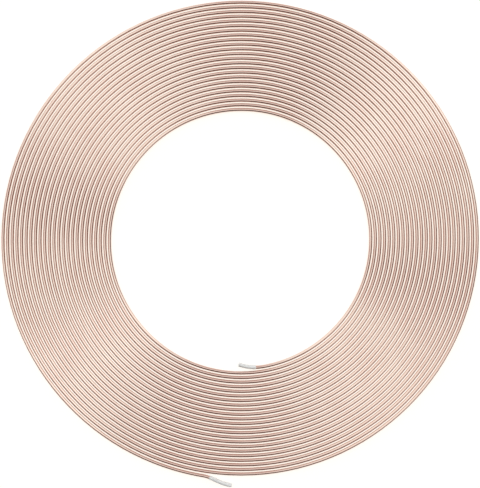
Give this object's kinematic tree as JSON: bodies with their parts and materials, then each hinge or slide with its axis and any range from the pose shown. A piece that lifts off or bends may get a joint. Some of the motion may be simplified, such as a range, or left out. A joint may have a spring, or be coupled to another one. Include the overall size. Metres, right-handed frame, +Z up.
{
  "type": "copper tube coil",
  "caption": "Flat pancake coil of soft copper tube wound in one even layer, with an open eye and a pale plastic cap on each tube end; stock for bending into fluid lines.",
  "frame": {"origin": "on the coil's axis, level with the floor the turns lie on", "axes": "+Z up along the coil's axis, +Y towards the side across from the two tube ends (up in the picture), +X to the right of the picture"},
  "size_m": [0.557, 0.5676, 0.0067],
  "materials": {
    "copper": "bright annealed copper",
    "cap_plastic": "milky, slightly see-through"
  },
  "bodies": {
    "root": {"copper_tube": "copper", "inner_end_cap": "cap_plastic", "outer_end_cap": "cap_plastic"}
  },
  "joints": []
}
